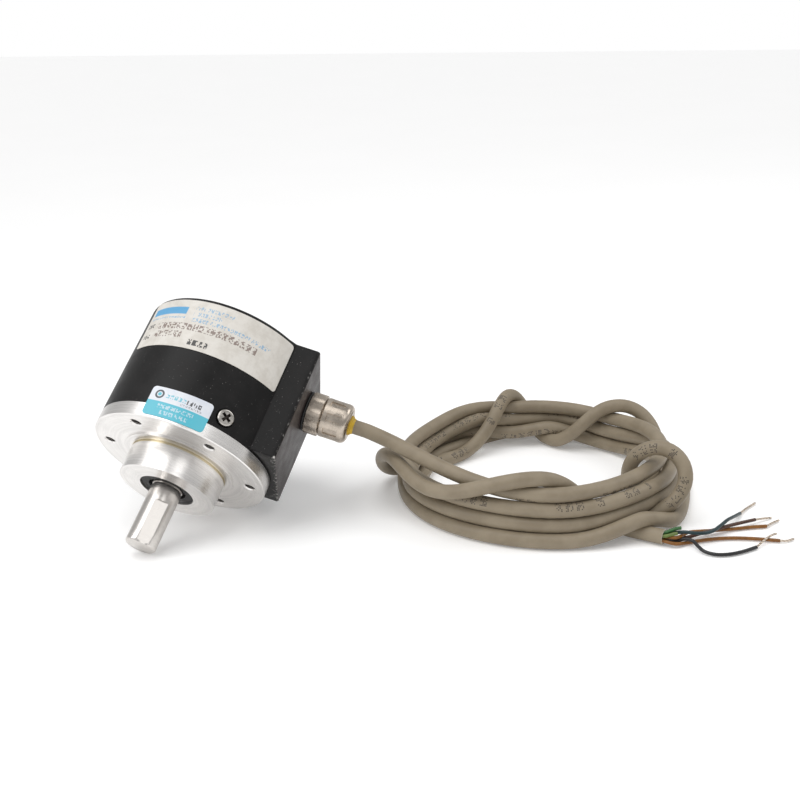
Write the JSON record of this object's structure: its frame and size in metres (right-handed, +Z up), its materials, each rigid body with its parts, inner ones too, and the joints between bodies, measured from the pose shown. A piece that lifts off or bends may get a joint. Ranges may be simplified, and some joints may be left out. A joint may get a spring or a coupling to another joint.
{
  "type": "rotary encoder",
  "caption": "Shaft encoder with a round flange, centring pilot, black cup cover with a side block, and a coiled cable with stripped cores that leaves through a metal gland.",
  "frame": {"origin": "on the shaft's axis, in the plane of the flange's mounting face", "axes": "+Z up from the table on which the encoder leans on its flange rim and its shaft tip, with the coil beside it. The shaft points along -Y and down, at (0, -0.7788, -0.6272). The gland points along +X, to the right"},
  "size_m": [0.21, 0.1517, 0.0726],
  "materials": {
    "turned_aluminium": "turned, fine matte with bright edges",
    "black_anodised": "satin black, worn bright at the edges",
    "shaft_steel": "ground stainless steel",
    "screw_steel": "zinc plated",
    "bearing_steel": "ground and polished",
    "shield_steel": "pressed sheet",
    "spring_steel": "dark spring steel",
    "black_rubber": "matte",
    "disc_glass": "clear",
    "black_plastic": "moulded",
    "ivory_plastic": "moulded",
    "board_green": "solder mask",
    "standoff_brass": "turned",
    "capacitor_can": "sleeved can",
    "nickel_plate": "warm, slightly dull nickel plate",
    "yellow_seal": "smooth",
    "label_foil": "matte printed foil, cream",
    "sticker_vinyl": "printed vinyl, pale blue and white",
    "cable_jacket": "beige-grey PVC with dark ink dots",
    "lead_wires": "thin insulation",
    "core_green": "smooth PVC",
    "core_brown": "smooth PVC",
    "core_orange": "smooth PVC",
    "core_teal": "smooth PVC",
    "core_black": "smooth PVC",
    "tinned_copper": "tinned strand"
  },
  "bodies": {
    "housing": {"flange": "turned_aluminium", "cover": "black_anodised", "cover_screws": "screw_steel", "cover_o_ring": "black_rubber", "shaft_seal": "black_rubber", "front_outer_ring": "bearing_steel", "front_shields": "shield_steel", "rear_outer_ring": "bearing_steel", "rear_shields": "shield_steel", "preload_washer": "spring_steel", "housing_circlip": "spring_steel", "led_bracket": "black_plastic", "led": "ivory_plastic", "reticle": "disc_glass", "photodetector": "black_plastic", "sensor_board": "board_green", "board_standoffs": "standoff_brass", "board_screws": "screw_steel", "driver_chip": "black_plastic", "board_capacitors": "capacitor_can", "board_socket": "ivory_plastic", "inner_leads": "lead_wires", "gland_o_ring": "black_rubber", "gland_body": "nickel_plate", "gland_clamp_ring": "black_plastic", "gland_seal": "yellow_seal", "gland_nut": "nickel_plate", "name_label": "label_foil", "seal_sticker": "sticker_vinyl", "cable_lead": "cable_jacket", "cable_coil": "cable_jacket", "cable_tail": "cable_jacket", "green_cores": "core_green", "brown_core": "core_brown", "orange_cores": "core_orange", "dark_core": "core_teal", "black_core": "core_black", "bare_tips": "tinned_copper"},
    "rotor": {"shaft": "shaft_steel", "front_inner_ring": "bearing_steel", "rear_inner_ring": "bearing_steel", "disc_hub": "turned_aluminium", "hub_set_screw": "spring_steel", "code_disc": "disc_glass", "disc_clamp": "shaft_steel"},
    "front_balls": {"front_ball_set": "bearing_steel"},
    "rear_balls": {"rear_ball_set": "bearing_steel"}
  },
  "joints": [
    {"name": "shaft_spin", "type": "hinge", "parent": "housing", "child": "rotor", "pos_m": [0, 0, 0], "axis": [0, -0.7788, -0.6272], "continuous": true},
    {"name": "front_cage_spin", "type": "hinge", "parent": "housing", "child": "front_balls", "pos_m": [0, 0, 0], "axis": [0, -0.7788, -0.6272], "continuous": true},
    {"name": "rear_cage_spin", "type": "hinge", "parent": "housing", "child": "rear_balls", "pos_m": [0, 0, 0], "axis": [0, -0.7788, -0.6272], "continuous": true}
  ],
  "couplings": [
    {"joint": "front_cage_spin", "follows": "shaft_spin", "ratio": 0.4008},
    {"joint": "rear_cage_spin", "follows": "shaft_spin", "ratio": 0.4008}
  ]
}
